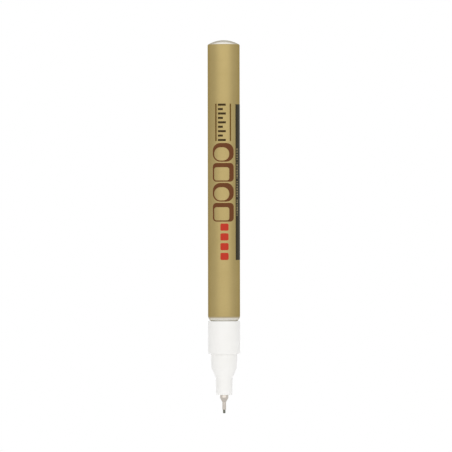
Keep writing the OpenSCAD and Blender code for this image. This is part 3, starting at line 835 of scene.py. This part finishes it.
def grained(name, colour, shade, per_mm, rough, bump, fade=None, metallic=0.0, **fixed):
    """A finish with a slow drift of colour to a shade, and a fine grain in its gloss and relief. per_mm
    has the slow and the fine scale, rough the least roughness and its spread, bump the relief's depth and
    strength, and fade the part of the slow noise over which the colour changes."""
    least, spread = rough
    made, tree, shader = finish_of(name, colour, least, metallic, **fixed)
    noise = use(tree, uneven, Slow_per_mm=per_mm[0], Fine_per_mm=per_mm[1])
    share = remap(tree, noise["Slow"], *fade) if fade else noise["Slow"]
    tree.links.new(blend_colour(tree, share, colour, shade), shader["Base Color"])
    tree.links.new(maths(tree, "MULTIPLY_ADD", noise["Fine"], spread, least), shader["Roughness"])
    tree.links.new(relief(tree, noise["Fine"], *bump), shader["Normal"])
    return made


PLASTIC_WHITE = srgb(250, 249, 247)
PLASTIC_SHADE = srgb(244, 243, 240)

polypropylene = grained(
    "white_polypropylene", PLASTIC_WHITE, PLASTIC_SHADE, (0.18, 6.0), (0.32, 0.12), (0.01, 0.4),
    Diffuse_Roughness=0.8,
)
holder_mesh = turned("white_holder", holder_outside + holder_inside[1:], parting)
holder = piece("white_holder", holder_mesh, polypropylene)
stands_for(holder, "marker_body", "front_holder")


# The tip tube. Stainless tube drawn down in steps: a shank pressed in the nozzle, a flange that seats on
# the nozzle's face, a cone and the thin tube in front. It is polished, with faint rings from the drawing.
TUBE_R = 0.68
CONE_LEN = 1.51
FLANGE_R = 1.525
FLANGE_LEN = 1.1
SHANK_WALL = 0.3
TUBE_EDGE = 0.09
TUBE_BORE_R = 0.51
TUBE_ROUND = 128

tube_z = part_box("tip_tube")[0].z / MM
flange_z = nozzle_z - FLANGE_LEN
cone_z = flange_z - CONE_LEN
tip_outside = softened(
    [(TUBE_BORE_R, tube_z), (TUBE_R, tube_z), (TUBE_R, cone_z), (FLANGE_R, flange_z), (FLANGE_R, nozzle_z)]
    + [(SHANK_R, nozzle_z), (SHANK_R, shank_z), (SHANK_R - SHANK_WALL, shank_z)],
    r=TUBE_EDGE,
    steps=5,
)
tip_inside = [(SHANK_R - SHANK_WALL, shank_z), (SHANK_R - SHANK_WALL, flange_z), (TUBE_BORE_R, cone_z)]

STEEL = srgb(206, 199, 190)
STEEL_DULL = srgb(187, 179, 170)

steel, tree, shader = finish_of("polished_steel", STEEL, 0.2, 1.0)
rings = use(tree, tool_rings, Lines_per_mm=14.0)["Height"]
noise = use(tree, uneven, Slow_per_mm=0.8, Fine_per_mm=10.0)
tree.links.new(blend_colour(tree, noise["Slow"], STEEL, STEEL_DULL), shader["Base Color"])
tree.links.new(maths(tree, "MULTIPLY_ADD", rings, 0.12, 0.1), shader["Roughness"])
tree.links.new(relief(tree, rings, 0.004, 0.5), shader["Normal"])

tip = piece("steel_tip", turned("steel_tip", tip_outside + tip_inside[1:], round_steps=TUBE_ROUND), steel)
stands_for(tip, "marker_body", "tip_tube")


# The nib. A thin rod of acetal plastic, rounded where it writes and soaked dark by the paint, held in
# the slider behind the tip tube.
NIB_ROUND = 0.28
NIB_ROW = 0.5
NIB_EDGE = 0.05
THIN_ROUND = 96

nib_low, nib_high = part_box("nib")
nib_r = nib_high.x / MM
nib_z = nib_low.z / MM
nib_end = nib_high.z / MM
nib_line = [(0, nib_z)] + arc(nib_r - NIB_ROUND, nib_z + NIB_ROUND, NIB_ROUND, -90, 0, 10)
nib_line += softened([(nib_r, nib_z + NIB_ROW), (nib_r, nib_end), (0, nib_end)], r=NIB_EDGE)[1:]

NIB_DARK = srgb(116, 118, 104)
NIB_WET = srgb(86, 88, 74)

acetal = grained(
    "inked_acetal", NIB_DARK, NIB_WET, (1.6, 14.0), (0.2, 0.3), (0.01, 0.6), fade=(0.3, 0.7),
)
nib = piece("writing_nib", turned("writing_nib", nib_line, round_steps=THIN_ROUND), acetal)
stands_for(nib, "nib_train", "nib")


# The nib slider. A fluted rod of acetal: the nib is pressed in its front end, the valve stem's peg stands
# in its rear one, and paint runs along its flutes.
STEM_R = 0.9
FLUTES = 6
FLUTE_W = 0.5
FLUTE_DEPTH = 0.4
SLIDER_CHAMFER = 0.3

slider_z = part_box("nib_slider")[0].z / MM
slider_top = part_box("nib_slider")[1].z / MM
slider_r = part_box("nib_slider")[1].y / MM
stem_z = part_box("valve_stem")[0].z / MM
slider_line = [
    (0, nib_end),
    (nib_r, nib_end),
    (nib_r, slider_z),
    (slider_r - SLIDER_CHAMFER, slider_z),
    (slider_r, slider_z + SLIDER_CHAMFER),
    (slider_r, slider_top - SLIDER_CHAMFER),
    (slider_r - SLIDER_CHAMFER, slider_top),
    (STEM_R, slider_top),
    (STEM_R, stem_z),
    (0, stem_z),
]

# Sinks the channels in a round rod: points near a channel's middle line move in to its floor
channels, given = tree_with("channels", whole=("Count",), real=("Width", "Depth", "Radius"), start=True)
place = put(channels, "GeometryNodeInputPosition").outputs[0]
xyz = put(channels, "ShaderNodeSeparateXYZ", {0: place}).outputs
turn = maths(channels, "ARCTAN2", xyz["Y"], xyz["X"])
share = maths(channels, "DIVIDE", 2 * math.pi, given["Count"])
aside = maths(channels, "PINGPONG", turn, maths(channels, "DIVIDE", share, 2.0))
off_middle = maths(channels, "MULTIPLY", aside, given["Radius"])
near = maths(channels, "LESS_THAN", off_middle, maths(channels, "DIVIDE", given["Width"], 2.0))
flat_place = put(channels, "ShaderNodeCombineXYZ", {0: xyz["X"], 1: xyz["Y"]}).outputs[0]
reach = put(channels, "ShaderNodeVectorMath", {0: flat_place}, operation="LENGTH").outputs["Value"]
floor_r = maths(channels, "SUBTRACT", given["Radius"], given["Depth"])
outside = maths(channels, "GREATER_THAN", reach, floor_r)
shrink = maths(channels, "DIVIDE", floor_r, reach)
moved = put(channels, "ShaderNodeCombineXYZ", {
    0: maths(channels, "MULTIPLY", xyz["X"], shrink),
    1: maths(channels, "MULTIPLY", xyz["Y"], shrink),
    2: xyz["Z"],
}).outputs[0]
sunk = put(channels, "GeometryNodeSetPosition", {
    "Geometry": given["Mesh"],
    "Selection": maths(channels, "MULTIPLY", near, outside),
    "Position": moved,
}).outputs[0]
end_tree(channels, given, sunk)

ACETAL = srgb(228, 227, 220)
ACETAL_STAINED = srgb(206, 202, 186)

white_acetal = grained(
    "white_acetal", ACETAL, ACETAL_STAINED, (0.5, 9.0), (0.28, 0.16), (0.006, 0.4), fade=(0.35, 0.7),
)
rod = turned("fluted_slider", slider_line)
slider_mesh = grown("fluted_slider", channels, {
    "Count": FLUTES,
    "Width": FLUTE_W * MM,
    "Depth": FLUTE_DEPTH * MM,
    "Radius": slider_r * MM,
    "Material": white_acetal,
}, rod)
slider = piece("fluted_slider", slider_mesh, white_acetal)
stands_for(slider, "nib_train", "nib_slider")


# The paint wick. A sleeve of bonded polyester fibre round the slider, cut square from a long tube, whose
# fibres lie along the marker. It is stained by the paint that it meters.
WICK_BORE_PLAY = 0.15
WICK_EDGE = 0.1
WICK_SOFT = 0.06

wick_low, wick_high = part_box("paint_wick")
wick_r = wick_high.x / MM
wick_z, wick_top = wick_low.z / MM, wick_high.z / MM
wick_bore = slider_r + WICK_BORE_PLAY
wick_line = softened([
    (wick_bore, wick_z), (wick_r - WICK_EDGE, wick_z), (wick_r, wick_z + WICK_EDGE),
    (wick_r, wick_top - WICK_EDGE), (wick_r - WICK_EDGE, wick_top), (wick_bore, wick_top),
], r=WICK_SOFT)

FIBRE = srgb(222, 218, 204)
FIBRE_STAINED = srgb(186, 180, 164)

fibre, tree, shader = finish_of("bonded_fibre", FIBRE, 0.85, Sheen_Weight=0.3)
place = put(tree, "ShaderNodeTexCoord").outputs["Object"]
strand = put(tree, "ShaderNodeMapping", {"Vector": place, "Scale": (14 / MM, 14 / MM, 0.7 / MM)}).outputs[0]
strands = put(tree, "ShaderNodeTexNoise", {"Vector": strand, "Scale": 1.0, "Detail": 4.0}).outputs[0]
noise = use(tree, uneven, Slow_per_mm=0.25, Fine_per_mm=10.0)
stain = maths(tree, "MULTIPLY_ADD", noise["Slow"], 0.6, maths(tree, "MULTIPLY", strands, 0.4))
stain = remap(tree, stain, 0.35, 0.65)
tree.links.new(blend_colour(tree, stain, FIBRE, FIBRE_STAINED), shader["Base Color"])
tree.links.new(maths(tree, "MULTIPLY_ADD", strands, 0.2, 0.72), shader["Roughness"])
tree.links.new(relief(tree, strands, 0.05, 0.8), shader["Normal"])

wick = piece("fibre_wick", turned("fibre_wick", wick_line), fibre)
stands_for(wick, "marker_body", "paint_wick")


# The plug seal and the valve seat. Two rings of moulded nitrile rubber: one squeezed between the plug's
# groove and the barrel, one on the plug's ledge, bevelled where the valve head closes.
SEAL_PLAY = 0.05
SEAL_ROUND = 0.25
SEAT_HOLE_R = 1.6
SEAT_BEVEL = 0.7
SEAT_EDGE = 0.05

seal_foot = seal_z + SEAL_PLAY
seal_head = seal_z + SEAL_W - SEAL_PLAY
seal_in_r = plug_r - SEAL_DEPTH
seal_line = arc(bore_r - SEAL_ROUND, seal_foot + SEAL_ROUND, SEAL_ROUND, -90, 0, 8)
seal_line += arc(bore_r - SEAL_ROUND, seal_head - SEAL_ROUND, SEAL_ROUND, 0, 90, 8)
seal_line += arc(seal_in_r + SEAL_ROUND, seal_head - SEAL_ROUND, SEAL_ROUND, 90, 180, 8)
seal_line += arc(seal_in_r + SEAL_ROUND, seal_foot + SEAL_ROUND, SEAL_ROUND, 180, 270, 8)

seat_low, seat_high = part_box("valve_seat")
seat_r = seat_high.x / MM
seat_z, seat_top = seat_low.z / MM, seat_high.z / MM
head_r = SEAT_HOLE_R + SEAT_BEVEL
seat_line = softened([
    (seat_r - SEAT_EDGE, seat_z), (seat_r, seat_z + SEAT_EDGE), (seat_r, seat_top - SEAT_EDGE),
    (seat_r - SEAT_EDGE, seat_top), (head_r, seat_top), (SEAT_HOLE_R, seat_top - SEAT_BEVEL),
    (SEAT_HOLE_R, seat_z),
], r=SEAT_EDGE)


def rubber(name, colour, bloom):
    """Moulded rubber with a fine grain and a light bloom."""
    return grained(name, colour, bloom, (0.6, 11.0), (0.58, 0.25), (0.012, 0.6), fade=(0.4, 0.75))


BLACK_RUBBER = srgb(40, 40, 43)
BLACK_BLOOM = srgb(62, 61, 62)
SEAT_RUBBER = srgb(56, 54, 51)
SEAT_BLOOM = srgb(80, 77, 72)

seal = piece("seal_ring", turned("seal_ring", seal_line), rubber("black_rubber", BLACK_RUBBER, BLACK_BLOOM))
stands_for(seal, "marker_body", "plug_seal")

seat = piece("seat_ring", turned("seat_ring", seat_line), rubber("soft_rubber", SEAT_RUBBER, SEAT_BLOOM))
stands_for(seat, "marker_body", "valve_seat")


# The valve stem. One polyethylene moulding: a peg and shaft in front, the conical head that closes on the
# seat, and the guide pin behind it that the spring is slipped over.
HEAD_H = 1.0
PIN_R = 1.15
PIN_EDGE = 0.1
STEM_EDGE = 0.05
SEAT_GAP = 0.03

pin_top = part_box("valve_stem")[1].z / MM
head_rim = seat_top + SEAT_GAP
head_top = head_rim + HEAD_H
head_cone = head_rim - SEAT_BEVEL - (SEAT_HOLE_R - STEM_R)
stem_line = softened([
    (0, stem_z), (STEM_R, stem_z), (STEM_R, head_cone), (head_r, head_rim), (head_r, head_top),
    (PIN_R, head_top), (PIN_R, pin_top - PIN_EDGE), (PIN_R - PIN_EDGE, pin_top), (0, pin_top),
], r=STEM_EDGE)


def milky_plastic(name, colour, shade, least_rough):
    """A milky moulded plastic."""
    return grained(name, colour, shade, (0.3, 8.0), (least_rough, 0.14), (0.006, 0.4))


STEM_BLUE = srgb(206, 211, 216)
STEM_SHADE = srgb(192, 198, 204)

polyethylene = milky_plastic("polyethylene", STEM_BLUE, STEM_SHADE, 0.29)
stem = piece("valve_poppet", turned("valve_poppet", stem_line, round_steps=THIN_ROUND), polyethylene)
stands_for(stem, "nib_train", "valve_stem")


# The valve spring. Stainless wire wound with closed end turns, between the valve head and the cage's end.
# It shortens as the nib is pushed in.
WIRE_D = 0.35
COIL_R = 1.7
TURNS = 8
COIL_GAP = 0.02
STEPS_PER_TURN = 48
WIRE_SIDES = 16
CAGE_END = 2.0

spring_z = head_top + COIL_GAP + WIRE_D / 2
spring_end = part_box("valve_cage")[1].z / MM - CAGE_END
end_pitch = WIRE_D + COIL_GAP
pitch = (spring_end - head_top - 2 * COIL_GAP - WIRE_D - 2 * end_pitch) / (TURNS - 2)

coil, given = tree_with(
    "coil", whole=("Turns", "Steps", "Sides"), real=("Radius", "Wire", "End Pitch", "Pitch", "Start")
)
count = maths(coil, "MULTIPLY_ADD", given["Turns"], given["Steps"], 1.0)
points = put(coil, "GeometryNodeMeshLine", {"Count": count}).outputs[0]
turned_by = maths(coil, "DIVIDE", put(coil, "GeometryNodeInputIndex").outputs[0], given["Steps"])
angle = maths(coil, "MULTIPLY", turned_by, 2 * math.pi)
first = maths(coil, "MINIMUM", turned_by, 1.0)
last_from = maths(coil, "SUBTRACT", given["Turns"], 1.0)
last = maths(coil, "MAXIMUM", maths(coil, "SUBTRACT", turned_by, last_from), 0.0)
free = maths(coil, "SUBTRACT", maths(coil, "SUBTRACT", turned_by, first), last)
rise = maths(coil, "MULTIPLY", maths(coil, "ADD", first, last), given["End Pitch"])
height = maths(coil, "ADD", maths(coil, "MULTIPLY_ADD", free, given["Pitch"], rise), given["Start"])
along = put(coil, "ShaderNodeCombineXYZ", {
    0: maths(coil, "MULTIPLY", maths(coil, "COSINE", angle), given["Radius"]),
    1: maths(coil, "MULTIPLY", maths(coil, "SINE", angle), given["Radius"]),
    2: height,
}).outputs[0]
path = put(coil, "GeometryNodeSetPosition", {"Geometry": points, "Position": along}).outputs[0]
path = put(coil, "GeometryNodeMeshToCurve", {"Mesh": path}).outputs[0]
path = put(coil, "GeometryNodeSetCurveNormal", {"Curve": path}, mode="Z_UP").outputs[0]
inputs = {"Resolution": given["Sides"], "Radius": maths(coil, "DIVIDE", given["Wire"], 2.0)}
wire = put(coil, "GeometryNodeCurvePrimitiveCircle", inputs).outputs[0]
inputs = {"Curve": path, "Profile Curve": wire, "Fill Caps": True}
tube = put(coil, "GeometryNodeCurveToMesh", inputs).outputs[0]
end_tree(coil, given, tube)

WIRE_STEEL = srgb(188, 190, 194)
WIRE_DULL = srgb(160, 162, 166)

spring_wire = grained(
    "spring_wire", WIRE_STEEL, WIRE_DULL, (1.2, 16.0), (0.18, 0.2), (0.004, 0.5), metallic=1.0,
)
spring_mesh = grown("valve_coil", coil, {
    "Turns": TURNS,
    "Steps": STEPS_PER_TURN,
    "Sides": WIRE_SIDES,
    "Radius": COIL_R * MM,
    "Wire": WIRE_D * MM,
    "End Pitch": end_pitch * MM,
    "Pitch": pitch * MM,
    "Start": spring_z * MM,
    "Material": spring_wire,
})
spring = piece("valve_coil", spring_mesh, spring_wire)
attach(spring, "marker_body")
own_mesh(spring)
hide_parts("valve_spring")


# The valve cage. A polypropylene moulding, snapped in the plug by its bead: the rim holds the seat down,
# the end backs the spring and guides the pin, and windows let the paint through.
CAGE_WALL = 0.8
HUB_R = 2.2
PIN_PLAY = 0.1
WINDOWS = 4
WINDOW_W = 3.2
WINDOW_IN = 0.3
CAGE_EDGE = 0.1
CAGE_SOFT = 0.05
CAGE_PLAY = 0.02
OVERCUT = 1.0

cage_r = plug_bore_r - CAGE_PLAY
cage_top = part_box("valve_cage")[1].z / MM
cage_bore = cage_r - CAGE_WALL
pin_hole = PIN_R + PIN_PLAY
window_z = plug_z + WINDOW_IN
cage_line = softened([
    (cage_bore, seat_top), (cage_r - CAGE_EDGE, seat_top), (cage_r, seat_top + CAGE_EDGE),
    (cage_r, bead_z - BEAD_HALF), (cage_r + BEAD_H, bead_z - BEAD_HALF + BEAD_H),
    (cage_r + BEAD_H, bead_z + BEAD_HALF - BEAD_H), (cage_r, bead_z + BEAD_HALF),
    (cage_r, cage_top - CAGE_EDGE), (cage_r - CAGE_EDGE, cage_top), (pin_hole, cage_top),
    (pin_hole, spring_end), (cage_bore, spring_end),
], r=CAGE_SOFT)

# Cuts windows through a round wall, evenly spaced: blocks stood round the axis are taken from the mesh
cuts, given = tree_with(
    "window_cuts", whole=("Count",), real=("Width", "From", "Foot", "Depth", "Height"), start=True
)
inputs = {0: given["Depth"], 1: given["Width"], 2: given["Height"]}
block_size = put(cuts, "ShaderNodeCombineXYZ", inputs).outputs[0]
block = put(cuts, "GeometryNodeMeshCube", {"Size": block_size}).outputs[0]
inputs = {
    0: maths(cuts, "MULTIPLY_ADD", given["Depth"], 0.5, given["From"]),
    2: maths(cuts, "MULTIPLY_ADD", given["Height"], 0.5, given["Foot"]),
}
block_place = put(cuts, "ShaderNodeCombineXYZ", inputs).outputs[0]
block = put(cuts, "GeometryNodeTransform", {"Geometry": block, "Translation": block_place}).outputs[0]
spots = put(cuts, "GeometryNodeMeshLine", {"Count": given["Count"], "Offset": (0, 0, 0)}).outputs[0]
share = maths(cuts, "DIVIDE", 2 * math.pi, given["Count"])
angle = maths(cuts, "MULTIPLY", put(cuts, "GeometryNodeInputIndex").outputs[0], share)
rotation = put(cuts, "ShaderNodeCombineXYZ", {2: angle}).outputs[0]
inputs = {"Points": spots, "Instance": block, "Rotation": rotation}
blocks = put(cuts, "GeometryNodeInstanceOnPoints", inputs).outputs[0]
blocks = put(cuts, "GeometryNodeRealizeInstances", {0: blocks}).outputs[0]
inputs = {"Mesh 1": given["Mesh"], "Mesh 2": blocks}
cut = put(cuts, "GeometryNodeMeshBoolean", inputs, operation="DIFFERENCE", solver="EXACT")
end_tree(cuts, given, cut.outputs[0])

CAGE_MILKY = srgb(228, 231, 235)
CAGE_SHADE = srgb(214, 218, 223)

milky = milky_plastic("milky_polypropylene", CAGE_MILKY, CAGE_SHADE, 0.27)
cage_mesh = grown("windowed_cage", cuts, {
    "Count": WINDOWS,
    "Width": WINDOW_W * MM,
    "From": HUB_R * MM,
    "Foot": window_z * MM,
    "Depth": cage_r * MM,
    "Height": (cage_top - window_z + OVERCUT) * MM,
    "Material": milky,
}, turned("windowed_cage", cage_line, round_steps=TUBE_ROUND))
cage = piece("windowed_cage", cage_mesh, milky)
stands_for(cage, "marker_body", "valve_cage")


# The mixing ball. A hardened steel ball, ground and polished, that rolls loose in the barrel and stirs the
# paint. A thin film of paint clings to it in places.
BALL_D = 6.0
BALL_CUTS = 22

ball_low, ball_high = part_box("mixing_ball")
ball_middle = (ball_low + ball_high) / 2
shape = bmesh.new()
bmesh.ops.create_cube(shape, size=2)
bmesh.ops.subdivide_edges(shape, edges=shape.edges, cuts=BALL_CUTS, use_grid_fill=True)
for point in shape.verts:
    even = Vector([math.tan(c * math.pi / 4) for c in point.co])
    point.co = ball_middle + even.normalized() * BALL_D / 2 * MM
bmesh.ops.recalc_face_normals(shape, faces=shape.faces)
ball_mesh = bpy.data.meshes.new("steel_ball")
shape.to_mesh(ball_mesh)
shape.free()

BALL_STEEL = srgb(196, 198, 202)
BALL_FILM = srgb(150, 150, 148)

ball_steel, tree, shader = finish_of("ground_steel", BALL_STEEL, 0.12, 1.0)
noise = use(tree, uneven, Slow_per_mm=0.35, Fine_per_mm=7.0)
film = remap(tree, noise["Slow"], 0.56, 0.66)
tree.links.new(blend_colour(tree, film, BALL_STEEL, BALL_FILM), shader["Base Color"])
grain = maths(tree, "MULTIPLY", noise["Fine"], 0.2)
tree.links.new(maths(tree, "MULTIPLY_ADD", film, 0.3, grain), shader["Roughness"])
tree.links.new(relief(tree, noise["Fine"], 0.003, 0.4), shader["Normal"])

ball = piece("steel_ball", ball_mesh, ball_steel)
stands_for(ball, "loose_ball", "mixing_ball")
